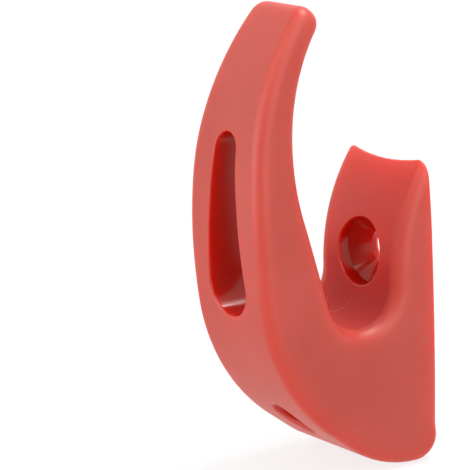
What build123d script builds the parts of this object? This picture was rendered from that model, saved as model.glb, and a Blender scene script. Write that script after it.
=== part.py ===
from build123d import *
import os
from math import acos, atan2, cos, degrees, radians, sin, sqrt, tan

# Bike storage hook, moulded in one piece from nylon, in millimetres.
# X runs across the hook, +Y points into the tube or wall behind it, +Z is up.
# The origin lies midway between the two screws, on the deepest line of the hollow back.

# Screws: two M5 countersunk screws, one above the other
screw_spacing = 25.6
screw_hole_dia = 5.5
screw_head_dia = 10.0
head_clearance = 1.2
sink_angle = 90.0
sink_land = 1.2

# Back: a hollow that seats on a round tube
back_width = 23.2
tube_radius = 70.0
side_draft = 1.1

# Outside of the side outline: heel, belly, straight rise, front bend, long front, top bend
hook_depth = 33.9
bottom_drop = 9.1
heel_radius = 4.2
belly_radius = 20.0
rise_angle = 37.2
front_bend_radius = 33.5
front_start_angle = 82.8
front_radius = 101.0
front_end_angle = 95.1
top_bend_radius = 44.0

# Inside of the side outline: the screw plate, the throat and the back of the arm
plate_root_depth = 6.4
plate_face_radius = 34.0
throat_floor_height = 2.3
throat_slope = 15.0
arm_thickness = 8.4
arm_inner_radius = 34.2
arm_inner_height = 31.0
tip_lean = 40.9

# Front outline: slightly leaning sides, then a taper to the tip
side_lean = 0.5
taper_start_height = 15.3
taper_radius = 180.0
taper_angle = 7.4
tip_corner_radius = 3.0

# Rounded edges
edge_radius = 2.3
back_edge_radius = 0.4
slot_edge_radius = 0.3
bore_edge_radius = 0.3
lower_rim_radius = 0.8

# Tool slot through the arm, in line with the upper screw
slot_top_height = 36.5
slot_bottom_height = 6.5
slot_top_width = 5.7
slot_bottom_width = 9.9

# Spare material, reach of the cutting shapes, and limits
heel_overrun = 0.3
plate_overrun = 3.0
cut_overrun = 5.0
touch = 0.01
across_share = 0.9
wall_share = 0.49

# Worked out from the sizes above
head_bore_dia = screw_head_dia + head_clearance
sink_depth = (head_bore_dia - screw_hole_dia) / 2 / tan(radians(sink_angle / 2))
upper_screw_height = screw_spacing / 2
lower_screw_height = -screw_spacing / 2
bottom_height = lower_screw_height - bottom_drop
hollow_depth = tube_radius - sqrt(tube_radius**2 - (back_width / 2) ** 2)
heel_y = hollow_depth + heel_overrun
rear_y = hollow_depth + plate_overrun
rear_half = back_width / 2 + plate_overrun * tan(radians(side_draft))
arm_centre_y = arm_inner_radius + arm_thickness + hollow_depth - hook_depth
slope_cosine = cos(radians(throat_slope))
slope_sine = sin(radians(throat_slope))
throat_span = (arm_centre_y + plate_root_depth) * slope_cosine
throat_rise = (arm_inner_height - throat_floor_height) * slope_sine
throat_radius = (arm_inner_radius - throat_span - throat_rise) / (1 + slope_cosine - slope_sine)
throat_y = -plate_root_depth - throat_radius
throat_height = throat_floor_height + throat_radius


def rise_length():
    """Length of the straight rise that brings the front of the arm to the hook's depth."""
    rise_sine = sin(radians(rise_angle))
    start_sine = sin(radians(front_start_angle))
    heel_reach = heel_radius - heel_overrun
    belly_reach = belly_radius * rise_sine
    bend_reach = front_bend_radius * (start_sine - rise_sine)
    front_reach = front_radius * (1 - start_sine)
    return (hook_depth - heel_reach - belly_reach - bend_reach - front_reach) / cos(radians(rise_angle))


def top_bend_angle(bend_start):
    """Turn of the top bend, which ends square across the arm from the end of its inside."""
    bend_lean = radians(front_end_angle - 90)
    bend_centre = bend_start + Vector(cos(bend_lean), -sin(bend_lean)) * top_bend_radius
    across_tip = Vector(-cos(radians(tip_lean)), sin(radians(tip_lean)))
    offset = Vector(arm_centre_y, arm_inner_height) - bend_centre
    along = offset.dot(across_tip)
    distance = sqrt(along**2 - offset.dot(offset) + top_bend_radius**2) - along
    corner = offset + across_tip * distance
    return degrees(bend_lean - atan2(corner.Y, -corner.X))


def outer_line():
    """Outside of the hook: round the heel, under the belly and up the front to the tip."""
    heel = JernArc((heel_y, bottom_height + heel_radius), (0, -1), heel_radius, -90)
    belly = JernArc(heel @ 1, heel % 1, belly_radius, -rise_angle)
    rise = PolarLine(belly @ 1, rise_length(), direction=belly % 1)
    front_bend = JernArc(rise @ 1, rise % 1, front_bend_radius, rise_angle - front_start_angle)
    front = JernArc(front_bend @ 1, front_bend % 1, front_radius, front_start_angle - front_end_angle)
    top_bend = JernArc(front @ 1, front % 1, top_bend_radius, top_bend_angle(front @ 1))
    return [heel, belly, rise, front_bend, front, top_bend]


def throat_line():
    """Inside of the hook: from the tip down the arm, round the throat and up the screw plate."""
    plate_span = degrees(acos(1 - (rear_y + plate_root_depth) / plate_face_radius))
    plate_centre = (plate_face_radius - plate_root_depth, throat_height)
    arm = CenterArc((arm_centre_y, arm_inner_height), arm_inner_radius, 180 - tip_lean, tip_lean + throat_slope)
    throat = CenterArc((throat_y, throat_height), throat_radius, 180 + throat_slope, 180 - throat_slope)
    slope = Line(arm @ 1, throat @ 0)
    plate = CenterArc(plate_centre, plate_face_radius, 180, -plate_span)
    return [arm, slope, throat, plate]


def side_solid(outside, tip_end, inside):
    """The side outline, closed at the tip and behind the back, drawn out across the hook."""
    back = Line(inside[-1] @ 1, outside[0] @ 0)
    outline = make_face(Curve() + outside + [tip_end] + inside + [back])
    return extrude(Plane.YZ * outline, amount=back_width, both=True)


def front_prism(top_height):
    """The front outline, drawn out from behind the back to past the front with moulding draft."""
    lean = radians(side_lean)
    low = bottom_height - cut_overrun
    low_half = rear_half + cut_overrun * tan(lean)
    side_length = (taper_start_height - low) / cos(lean)
    side = PolarLine((low_half, low), side_length, direction=Vector(-sin(lean), cos(lean)))
    bend = JernArc(side @ 1, side % 1, taper_radius, taper_angle - side_lean)
    flank_length = (top_height + cut_overrun - (bend @ 1).Y) / cos(radians(taper_angle))
    flank = PolarLine(bend @ 1, flank_length, direction=bend % 1)
    half = Curve() + [side, bend, flank]
    top = Line(flank @ 1, Vector(-(flank @ 1).X, (flank @ 1).Y))
    bottom = Line(side @ 0, Vector(-low_half, low))
    outline = make_face(half + mirror(half, about=Plane.YZ) + [top, bottom])
    reach = hook_depth + plate_overrun + cut_overrun
    return extrude(Plane.XZ.offset(-rear_y) * outline, amount=reach, taper=side_draft)


def runs_across(edge):
    """True for an edge that runs from side to side."""
    return abs((edge % 0.5).X) > across_share


def faces_along(body, lines):
    """Faces that follow lines of the side outline."""
    path = Plane.YZ * (Curve() + lines)
    return body.faces().filter_by(lambda face: path.distance_to(face.center()) < touch)


def border_of(faces):
    """Edges round the outside of a strip of faces, without the ones behind the back."""
    edges = [edge for face in faces for edge in face.edges()]
    border = [edge for edge in edges if sum(edge.is_same(other) for other in edges) == 1]
    return [edge for edge in border if edge.center().Y < hollow_depth or not runs_across(edge)]


def hook_blank(outside, inside):
    """The body with rounded edges and a hollow back, before the slot and the screw holes."""
    tip_end = Line(outside[-1] @ 1, inside[0] @ 0)
    body = (side_solid(outside, tip_end, inside) & front_prism((tip_end @ 0).Y)).solid()
    tip_face = faces_along(body, [tip_end])[0]
    tip_corners = [edge for edge in tip_face.edges() if not runs_across(edge)]
    body = body.fillet(tip_corner_radius, tip_corners)
    long_edges = border_of(faces_along(body, outside)) + border_of(faces_along(body, inside))
    body = body.fillet(min(edge_radius, wall_share * tip_end.length), long_edges)
    height = (tip_end @ 0).Y - bottom_height
    tube = Pos(0, tube_radius, bottom_height + height / 2) * Cylinder(tube_radius, height + 2 * cut_overrun)
    return (body - tube).solid()


def soften_back(body):
    """Small rounding where the hollow back meets the rest of the body."""
    hollow = min(body.faces(), key=lambda face: abs(face.center().Y))
    return body.fillet(back_edge_radius, hollow.edges())


def tool_slot():
    """Round-ended slot, wider at the bottom, from inside the throat to past the front."""
    top_radius = slot_top_width / 2
    bottom_radius = slot_bottom_width / 2
    top_end = Pos(0, slot_top_height - top_radius) * Circle(top_radius)
    bottom_end = Pos(0, slot_bottom_height + bottom_radius) * Circle(bottom_radius)
    outline = make_hull((top_end + bottom_end).edges())
    return extrude(Plane.XZ.offset(-throat_y) * outline, amount=hook_depth + cut_overrun)


def upper_hole():
    """Screw hole with a countersunk seat and a bore that lets the head through the plate."""
    shank = Pos(0, 0, sink_land / 2) * Cylinder(screw_hole_dia / 2, sink_land + cut_overrun)
    sink = Pos(0, 0, sink_land + sink_depth / 2) * Cone(screw_hole_dia / 2, head_bore_dia / 2, sink_depth)
    bore_start = sink_land + sink_depth
    bore_length = -throat_y - bore_start
    bore = Pos(0, 0, bore_start + bore_length / 2) * Cylinder(head_bore_dia / 2, bore_length)
    return Plane.XZ * Pos(0, upper_screw_height, 0) * (shank + sink + bore)


def lower_hole():
    """Plain screw hole through the thick lower part."""
    length = hook_depth + 2 * cut_overrun
    return Plane.XZ * Pos(0, lower_screw_height, hook_depth / 2) * Cylinder(screw_hole_dia / 2, length)


def cut_soft(body, cutter, radius):
    """Cut a shape out of the body and round its rims, except those on the hollow back."""
    cut = (body - cutter).solid()
    rims = new_edges(body, cutter, combined=cut)
    return cut.fillet(radius, [rim for rim in rims if (rim @ 0.5).Y < -sink_land])


outside_line = outer_line()
inside_line = throat_line()
hook_body = soften_back(hook_blank(outside_line, inside_line))
hook_body = cut_soft(hook_body, tool_slot(), slot_edge_radius)
hook_body = cut_soft(hook_body, upper_hole(), bore_edge_radius)
hook_body = cut_soft(hook_body, lower_hole(), lower_rim_radius)

os.makedirs("parts", exist_ok=True)
export_step(hook_body, "parts/hook_body.step")
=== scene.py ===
# %% [markdown]
# A bike storage hook, moulded in one piece from red nylon. The shape comes ready made from the CAD frame,
# so this lesson is about its looks: the plastic, the studio around it and the camera. The hook is small,
# about 78 mm tall, and every length here is in metres. X runs across the hook, Y runs from its front to its
# back, and Z is up.

# %% Load the hook
import math

import bpy
from mathutils import Matrix, Vector


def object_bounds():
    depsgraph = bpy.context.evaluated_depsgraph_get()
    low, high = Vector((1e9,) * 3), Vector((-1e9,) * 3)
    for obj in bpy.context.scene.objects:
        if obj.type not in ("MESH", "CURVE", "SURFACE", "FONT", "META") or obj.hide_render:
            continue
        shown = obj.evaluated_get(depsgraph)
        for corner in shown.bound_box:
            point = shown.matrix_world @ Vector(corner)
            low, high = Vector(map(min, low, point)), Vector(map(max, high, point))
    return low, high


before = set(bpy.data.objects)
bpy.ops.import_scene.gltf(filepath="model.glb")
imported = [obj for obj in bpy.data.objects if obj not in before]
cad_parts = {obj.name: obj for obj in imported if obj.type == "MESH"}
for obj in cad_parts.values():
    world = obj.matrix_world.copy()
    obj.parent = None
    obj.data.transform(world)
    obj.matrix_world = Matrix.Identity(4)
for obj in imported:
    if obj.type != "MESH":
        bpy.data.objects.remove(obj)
cad_low, cad_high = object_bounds()
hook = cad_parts["hook_body"]
mm_per_metre = 1000


def in_mm(length):
    """A length in millimetres, rounded for the printed notes."""
    return round(mm_per_metre * length, 2)


print("hook size in mm", [in_mm(side) for side in cad_high - cad_low])

# %% [markdown]
# The picture is shown without a film curve, because such a curve takes the strength out of a pure red. The
# reds in this lesson are linear values, as a shader works with them: hardly any green or blue comes back
# out of the plastic. The outside skin has two reds close to each other.

# %% Colours
bpy.context.scene.view_settings.view_transform = "Standard"
deep_red = (0.53, 0.059, 0.039, 1.0)
clear_red = (0.59, 0.083, 0.061, 1.0)
print("reds of the skin", deep_red, clear_red)

# %% [markdown]
# Nylon lets light in a little way. Thin rims and the inside of the slot glow a deeper red, because red light
# travels further through the plastic than green or blue. A plain diffuse red would leave the slot grey, so
# the whole colour is given by subsurface scattering, with a radius that is longest for red. The colour
# itself is a deep red, and the paler look of the outside is a broad soft shine on top of it.

# %% Nylon material
nylon = bpy.data.materials.new("red_nylon")
nylon.use_nodes = True
nodes = nylon.node_tree.nodes
links = nylon.node_tree.links
shader = nodes["Principled BSDF"]
shader.inputs["Subsurface Weight"].default_value = 1.0
shader.inputs["Subsurface Radius"].default_value = (1.0, 0.08, 0.04)
shader.inputs["Subsurface Scale"].default_value = 0.006
shader.inputs["IOR"].default_value = 1.55
shader.inputs["Specular IOR Level"].default_value = 0.8
shader.inputs["Specular Tint"].default_value = (1.0, 0.96, 0.88, 1.0)
print("material", nylon.name)

# %% [markdown]
# The red of the plastic is faintly cloudy, in patches of about a centimetre with smaller ones within them. An
# image would have to be wrapped round the hook and would show its seams. A noise pattern on Object
# coordinates has none, and stays on the hook from every side.

# %% Cloudy colour
cloud_scale = 70.0
cloud_detail = 3.0
deep_stop = 0.3
clear_stop = 0.7
place = nodes.new("ShaderNodeTexCoord")


def noise_of(scale, detail):
    """Result of a noise pattern that is fixed to the hook."""
    node = nodes.new("ShaderNodeTexNoise")
    node.inputs["Scale"].default_value = scale
    node.inputs["Detail"].default_value = detail
    links.new(place.outputs["Object"], node.inputs["Vector"])
    return node.outputs["Fac"]


shades = nodes.new("ShaderNodeValToRGB")
deep_end, clear_end = shades.color_ramp.elements
deep_end.position = deep_stop
deep_end.color = deep_red
clear_end.position = clear_stop
clear_end.color = clear_red
links.new(noise_of(cloud_scale, cloud_detail), shades.inputs["Fac"])
print("cloud size in mm", in_mm(1 / cloud_scale))

# %% [markdown]
# Several places on the hook look different from the skin: the slot, the holes, the throat, the plate and the
# edges. A mask painted by hand would be lost if the mesh changed, so each mask is worked out from where a
# point lies. These helpers make the nodes that do the sums.

# %% Maths helpers
axes = nodes.new("ShaderNodeSeparateXYZ")
links.new(place.outputs["Object"], axes.inputs["Vector"])
across, depth, height = (axes.outputs[name] for name in "XYZ")


def maths(operation, *values):
    """Result of a Math node that takes numbers and the outputs of other nodes."""
    node = nodes.new("ShaderNodeMath")
    node.operation = operation
    for socket, value in zip(node.inputs, values):
        if isinstance(value, float):
            socket.default_value = value
        else:
            links.new(value, socket)
    return node.outputs["Value"]


def product(first, *others):
    """Several masks or lengths multiplied by one another."""
    result = first
    for other in others:
        result = maths("MULTIPLY", result, other)
    return result


def length_of(side_a, side_b):
    """Length of the slanting side over two others."""
    return maths("SQRT", maths("ADD", product(side_a, side_a), product(side_b, side_b)))


print("nodes so far", len(nodes))

# %% [markdown]
# A mask with a hard border looks cut out, and on a moulded piece one look runs softly into the next. So most
# masks fade over a short way, from zero to one or back.

# %% Fade helpers
def scaled(value, from_low, from_high, to_low, to_high):
    """Result of a Map Range node that stays within its limits."""
    node = nodes.new("ShaderNodeMapRange")
    links.new(value, node.inputs["Value"])
    node.inputs["From Min"].default_value = from_low
    node.inputs["From Max"].default_value = from_high
    node.inputs["To Min"].default_value = to_low
    node.inputs["To Max"].default_value = to_high
    return node.outputs["Result"]


def fade_in(value, start, end):
    """Zero up to the start, one from the end on."""
    return scaled(value, start, end, 0.0, 1.0)


def fade_out(value, start, end):
    """One up to the start, zero from the end on."""
    return scaled(value, start, end, 1.0, 0.0)


rim_inner = 0.0001
rim_outer = 0.0003


def inside_rim(distance):
    """One within an opening, fading to zero across its rim."""
    return fade_out(distance, rim_inner, rim_outer)


print("rim fades over mm", in_mm(rim_outer - rim_inner))

# %% [markdown]
# The tool slot is left by a smooth steel core in the mould. Its outline is two round ends of different size
# with straight sides between them. Its middle line and its radius both follow the height, so one distance
# tells how far a point lies outside it, seen from the front. The slot only goes through the arm, so its mask
# ends halfway to the back.

# %% Mask of the slot walls
slot_top_centre = 0.03365
slot_bottom_centre = 0.01145
slot_top_radius = 0.00285
slot_bottom_radius = 0.00495
mid_depth = -0.012

slot_line = scaled(height, slot_bottom_centre, slot_top_centre, slot_bottom_centre, slot_top_centre)
slot_radius = scaled(height, slot_bottom_centre, slot_top_centre, slot_bottom_radius, slot_top_radius)
slot_length = length_of(across, maths("SUBTRACT", height, slot_line))
slot_opening = inside_rim(maths("SUBTRACT", slot_length, slot_radius))
in_arm = maths("LESS_THAN", depth, mid_depth)
slot_walls = product(slot_opening, in_arm)
print("slot width in mm", in_mm(2 * slot_top_radius), "to", in_mm(2 * slot_bottom_radius))

# %% [markdown]
# The two screw holes are left by round cores, one as far above the origin as the other is below it. The bore
# of the upper one is wide enough for a screw head. Its mask belongs to the plate alone, and it stops just
# short of the back, where it would paint a ring round the narrow end of the hole.

# %% Mask of the hole walls
screw_height = 0.0128
upper_bore_radius = 0.0056
lower_hole_radius = 0.00275
back_depth = -0.0003


def round_opening(centre_height, radius):
    """One within a round hole, seen from the front."""
    from_centre = length_of(across, maths("SUBTRACT", height, centre_height))
    return inside_rim(maths("SUBTRACT", from_centre, radius))


in_plate = maths("GREATER_THAN", depth, mid_depth)
before_back = maths("LESS_THAN", depth, back_depth)
bore_walls = product(round_opening(screw_height, upper_bore_radius), in_plate, before_back)
lower_walls = round_opening(-screw_height, lower_hole_radius)
core_walls = maths("MAXIMUM", maths("MAXIMUM", slot_walls, lower_walls), bore_walls)
print("hole widths in mm", in_mm(2 * upper_bore_radius), in_mm(2 * lower_hole_radius))

# %% [markdown]
# At the bottom of the throat the walls face each other and keep the light off, so the red there is deeper.
# The lighting alone doesn't give that, so the shade is painted: a deep red is mixed in by how near a point
# lies to the line that the throat turns around. The mask stops short of the rounded edges, which stay pale.

# %% Painted shade in the throat
# painted shade: the deep red of the shaded throat floor
throat_shade_red = (0.49, 0.007, 0.003, 1.0)
throat_depth = -0.013
throat_height = 0.0089
throat_floor = 0.0068
throat_fade = 0.0140
flat_half_width = 0.0082
edge_half_width = 0.0098


def colour_mix(share, base, colour):
    """Result of a Mix node that goes from a colour output to a fixed colour."""
    node = nodes.new("ShaderNodeMix")
    node.data_type = "RGBA"
    base_socket, colour_socket = [socket for socket in node.inputs if socket.type == "RGBA"]
    links.new(share, node.inputs["Factor"])
    links.new(base, base_socket)
    colour_socket.default_value = colour
    return [socket for socket in node.outputs if socket.type == "RGBA"][0]


throat_length = length_of(maths("SUBTRACT", depth, throat_depth), maths("SUBTRACT", height, throat_height))
near_throat = fade_out(throat_length, throat_floor, throat_fade)
off_edges = fade_out(maths("ABSOLUTE", across), flat_half_width, edge_half_width)
throat_shade_mask = product(near_throat, off_edges)
# the painted shade of the throat is mixed into the cloudy red here
throat_shade_colour = colour_mix(throat_shade_mask, shades.outputs["Color"], throat_shade_red)
print("throat shade fades over mm", in_mm(throat_fade - throat_floor))

# %% [markdown]
# The screw plate is thin, so light comes through it and it looks warmer than the thick arm; the arm also
# shades it. A stronger scattering would warm the whole hook, so this glow and shade are painted into a red of
# the plate's own. Its mask starts above the throat and leaves out the sides and the back.

# %% Painted glow and shade on the plate
# painted light: the warm glow through the thin plate, and the deeper red where the arm shades it
plate_glow_red = (0.62, 0.036, 0.018, 1.0)
plate_low = 0.0105
plate_high = 0.0165
plate_fade_depth = -0.0015

above_throat = fade_in(height, plate_low, plate_high)
off_back = fade_out(depth, plate_fade_depth, back_depth)
plate_glow_mask = product(above_throat, off_edges, in_plate, off_back)
# the painted glow and shade of the plate are mixed in here
plate_glow_colour = colour_mix(plate_glow_mask, throat_shade_colour, plate_glow_red)
print("plate starts at mm", in_mm(plate_low))

# %% [markdown]
# A fine pale line curves over the floor of the throat. It looks like the mark of a pin that pushed the
# finished hook out of the mould. It is hardly raised, so a thin ring in the colour and in the bump shows it
# well enough. The ring is kept low, or it would run up the plate as two lines.

# %% Ejector ring
ring_red = (0.62, 0.150, 0.120, 1.0)
ring_across = -0.0031
ring_depth = -0.0078
ring_radius = 0.0028
ring_line = 0.00022
ring_strength = 0.5
ring_full_height = 0.0036
ring_end_height = 0.0056

ring_length = length_of(maths("SUBTRACT", across, ring_across), maths("SUBTRACT", depth, ring_depth))
off_ring = maths("ABSOLUTE", maths("SUBTRACT", ring_length, ring_radius))
on_ring = scaled(off_ring, 0.0, ring_line, ring_strength, 0.0)
on_floor = fade_out(height, ring_full_height, ring_end_height)
ring = product(on_ring, near_throat, on_floor)
skin_colour = colour_mix(ring, plate_glow_colour, ring_red)
print("ring width in mm", in_mm(2 * ring_radius))

# %% [markdown]
# Light passes most easily through the long rounded edges, so they look clearer and warmer than the flat
# faces.
# That glow is painted, as a warmer red along the edges. A pointiness mask would also catch the rims of the
# openings, so the edges are found by their distance from the side of the hook. Its half width shrinks a
# little towards the front and the top, and more above the place where the taper starts: first along a bend,
# then along a straight flank.

# %% Distance from the side
half_width = 0.01139
front_draft = 0.0192
side_lean = 0.0087
taper_start = 0.0153
taper_end = 0.0369
taper_radius = 0.180
taper_slope = 0.1212

bend_run = scaled(height, taper_start, taper_end, 0.0, taper_end - taper_start)
bend = maths("DIVIDE", product(bend_run, bend_run), 2 * taper_radius)
flank_run = maths("MAXIMUM", maths("SUBTRACT", height, taper_end), 0.0)
taper = maths("ADD", bend, product(flank_run, taper_slope))
flared_width = maths("ADD", product(depth, front_draft), half_width)
narrowing = maths("ADD", product(height, side_lean), taper)
side = maths("SUBTRACT", flared_width, narrowing)
from_side = maths("SUBTRACT", side, maths("ABSOLUTE", across))
print("half width at the front in mm", in_mm(half_width + cad_low.y * front_draft))

# %% [markdown]
# The band of painted glow lies just inside the side and is about as wide as the rounding. It fades at both
# borders. The red of the core walls comes last, because the smooth walls of the slot and the holes show the
# plastic's own deep red, with no satin to make it paler.

# %% Painted edge glow and core walls
# painted light: the warmer red of the glow through the rounded edges
edge_glow_red = (0.57, 0.038, 0.017, 1.0)
core_red = (0.48, 0.009, 0.002, 1.0)
edge_glow_share = 0.5
band_start = 0.0001
band_full = 0.0006
band_fade = 0.0015
band_end = 0.0023

edge_start = scaled(from_side, band_start, band_full, 0.0, edge_glow_share)
edge_end = fade_out(from_side, band_fade, band_end)
# the painted edge glow is mixed in here
edge_glow_colour = colour_mix(product(edge_start, edge_end), skin_colour, edge_glow_red)
links.new(colour_mix(core_walls, edge_glow_colour, core_red), shader.inputs["Base Color"])
print("clear band in mm", in_mm(band_start), "to", in_mm(band_end))

# %% [markdown]
# The skin is satin, as from a mould that was lightly blasted, with a shine that varies a little from place to
# place. One roughness for all would look like paint, so noise gives it for the skin, and masks set the rest:
# dull at the bottom of the throat, glossy in the upper bore and on the floor of the slot, and a smooth satin
# on the slot's walls and in the lower hole.

# %% Satin shine
satin_scale = 160.0
satin_detail = 4.0
satin_smooth = 0.43
satin_rough = 0.51
throat_dull = 0.75
core_gloss = 0.14
core_satin = 0.24
slot_floor_height = 0.0125
slot_wall_height = 0.0160


def value_mix(share, base, value):
    """Result of a Mix node that goes from one output to another or to a number."""
    node = nodes.new("ShaderNodeMix")
    links.new(share, node.inputs["Factor"])
    links.new(base, node.inputs["A"])
    if isinstance(value, float):
        node.inputs["B"].default_value = value
    else:
        links.new(value, node.inputs["B"])
    return node.outputs["Result"]


slot_roughness = scaled(height, slot_floor_height, slot_wall_height, core_gloss, core_satin)
roughness = scaled(noise_of(satin_scale, satin_detail), 0.0, 1.0, satin_smooth, satin_rough)
roughness = value_mix(throat_shade_mask, roughness, throat_dull)
roughness = value_mix(slot_walls, roughness, slot_roughness)
roughness = value_mix(lower_walls, roughness, core_satin)
roughness = value_mix(bore_walls, roughness, core_gloss)
links.new(roughness, shader.inputs["Roughness"])
print("roughness", satin_smooth, "to", satin_rough, "throat", throat_dull, "bore", core_gloss)

# %% [markdown]
# Blasting also leaves a very fine grain, about as fine as the picture can show. Real dents would need
# millions of faces, so the grain is a bump from noise. It falls away on the core walls, which are smooth, and
# the ring on the floor of the throat is added to it.

# %% Mould grain
grain_scale = 2600.0
grain_detail = 2.0
grain_strength = 0.12
grain_depth = 0.00005

satin_skin = maths("SUBTRACT", 1.0, core_walls)
relief = maths("ADD", product(noise_of(grain_scale, grain_detail), satin_skin), ring)
grain_bump = nodes.new("ShaderNodeBump")
grain_bump.inputs["Strength"].default_value = grain_strength
grain_bump.inputs["Distance"].default_value = grain_depth
links.new(relief, grain_bump.inputs["Height"])
links.new(grain_bump.outputs["Normal"], shader.inputs["Normal"])
print("grain size in mm", in_mm(1 / grain_scale))

# %% [markdown]
# The hook is one shot of plastic, so one material covers it all. It takes the place of the plain one that
# comes with the frame.

# %% Give the hook its nylon
hook.data.materials.clear()
hook.data.materials.append(nylon)
print("hook slots", [slot.name for slot in hook.material_slots])

# %% [markdown]
# The studio is a white table and a white sheet behind it. Both are stage pieces and no part of the hook.
# White paint alone would turn grey away from the panels, so both also glow. The table glows more and
# reflects less, which keeps the shadow of the hook faint.

# %% Studio whites
pure_white = (1.0, 1.0, 1.0, 1.0)
card_roughness = 0.9
card_shine = 0.1


def white_card(name, whiteness, glow_strength):
    """A matt white material that glows."""
    card = bpy.data.materials.new(name)
    card.use_nodes = True
    surface = card.node_tree.nodes["Principled BSDF"]
    surface.inputs["Base Color"].default_value = (whiteness, whiteness, whiteness, 1.0)
    surface.inputs["Roughness"].default_value = card_roughness
    surface.inputs["Specular IOR Level"].default_value = card_shine
    surface.inputs["Emission Color"].default_value = pure_white
    surface.inputs["Emission Strength"].default_value = glow_strength
    print("white card", name, "glows", glow_strength)
    return card


table_white = white_card("table_white", whiteness=0.20, glow_strength=0.79)
backdrop_white = white_card("backdrop_white", whiteness=0.85, glow_strength=0.30)

# %% [markdown]
# The table lies at the hook's lowest point. It is a single flat sheet, larger than the picture shows. It is
# left out of reflections, because its glow would lay a pale sheen on the underside of the hook.

# %% Table
table_size = 3.0
bpy.ops.object.select_all(action="DESELECT")
bpy.ops.mesh.primitive_plane_add(size=table_size, location=(0.0, 0.0, cad_low.z))
table = bpy.context.object
table.name = "table"
table.data.materials.append(table_white)
table.visible_glossy = False
print("table height in mm", in_mm(cad_low.z))

# %% [markdown]
# The camera stands in front and to the right, a little above the hook, and is rolled slightly, as in the
# photograph. Azimuth, elevation and roll are turned into the three axes of the view: right, up, and towards
# the camera.

# %% Camera direction
view_azimuth = math.radians(54.3)
view_elevation = math.radians(13.0)
view_roll = math.radians(1.9)

towards = Vector((
    math.sin(view_azimuth) * math.cos(view_elevation),
    -math.cos(view_azimuth) * math.cos(view_elevation),
    math.sin(view_elevation),
))
level_right = Vector((math.cos(view_azimuth), math.sin(view_azimuth), 0.0))
level_up = towards.cross(level_right)
right = level_right * math.cos(view_roll) - level_up * math.sin(view_roll)
up = towards.cross(right)
straight = Matrix((right, up, towards)).transposed()
print("view from", [round(part, 3) for part in towards])

# %% [markdown]
# A constraint that tracks the hook would put it in the middle of the picture. It sits right of the middle, so
# the camera is swung until the aim point falls on its own pixel. A long lens keeps the sides nearly parallel.

# %% Camera
picture_size = 470.0
focal_pixels = 2562.0
sensor_width = 36.0
view_distance = 0.42
clip_near = 0.01
clip_far = 20.0
aim_point = Vector((0.0, -0.01463, 0.0178))
aim_column = 316.0
aim_row = 230.0

aim_ray = Vector((aim_column - picture_size / 2, picture_size / 2 - aim_row, -focal_pixels))
swing = aim_ray.rotation_difference(Vector((0.0, 0.0, -1.0))).to_matrix()
camera_data = bpy.data.cameras.new("camera")
camera_data.sensor_width = sensor_width
camera_data.lens = focal_pixels / picture_size * sensor_width
camera_data.clip_start = clip_near
camera_data.clip_end = clip_far
camera = bpy.data.objects.new("camera", camera_data)
bpy.context.scene.collection.objects.link(camera)
camera_place = Matrix.Translation(aim_point + towards * view_distance)
camera.matrix_world = camera_place @ (straight @ swing).to_4x4()
bpy.context.scene.camera = camera
print("lens in mm", round(camera_data.lens, 1))

# %% [markdown]
# The white sheet stands upright behind the hook, square to the view, so the picture is white up to its top
# edge. It is far enough away to catch no shadow.

# %% Backdrop
backdrop_gap = 1.0
bpy.ops.object.select_all(action="DESELECT")
bpy.ops.mesh.primitive_plane_add(size=table_size)
backdrop = bpy.context.object
backdrop.name = "backdrop"
away = Vector((-towards.x, -towards.y, 0.0)).normalized()
backdrop_turn = (-away).to_track_quat("Z", "Y").to_matrix().to_4x4()
backdrop.matrix_world = Matrix.Translation(away * backdrop_gap) @ backdrop_turn
backdrop.data.materials.append(backdrop_white)
print("backdrop gap in m", backdrop_gap)

# %% [markdown]
# The light is soft and comes from everywhere, as in a light tent. A single lamp would leave hard shadows in
# the throat, so an even white world gives the base of the light.

# %% World light
tent_strength = 0.47
world = bpy.data.worlds.new("tent")
bpy.context.scene.world = world
world.use_nodes = True
tent = world.node_tree.nodes["Background"]
tent.inputs["Color"].default_value = pure_white
tent.inputs["Strength"].default_value = tent_strength
print("tent light", tent_strength)

# %% [markdown]
# Five panels shape the light: one high in front and one low in front for the outside of the arm, one low and
# one high at the side for the flat flank, and a smaller one overhead that lays highlights along the rounded
# edges. They are square area lights, hidden from the camera.

# %% Soft panels
wide_panel = 0.6
small_panel = 0.35


def soft_panel(name, stand, size, power):
    """A square area light at a place, turned to face the hook."""
    data = bpy.data.lights.new(name, "AREA")
    data.shape = "SQUARE"
    data.size = size
    data.energy = power
    panel = bpy.data.objects.new(name, data)
    panel.visible_camera = False
    bpy.context.scene.collection.objects.link(panel)
    facing = (aim_point - Vector(stand)).to_track_quat("-Z", "Y").to_matrix().to_4x4()
    panel.matrix_world = Matrix.Translation(Vector(stand)) @ facing
    print("panel", name, "power", power)


soft_panel("front_panel", stand=(0.1, -0.75, 0.7), size=wide_panel, power=1.4)
soft_panel("low_front_panel", stand=(-0.25, -0.9, 0.08), size=wide_panel, power=3.5)
soft_panel("low_side_panel", stand=(0.95, -0.1, 0.06), size=wide_panel, power=1.7)
soft_panel("high_side_panel", stand=(0.62, -0.05, 0.78), size=wide_panel, power=2.3)
soft_panel("overhead_panel", stand=(0.06, 0.3, 0.9), size=small_panel, power=4.9)
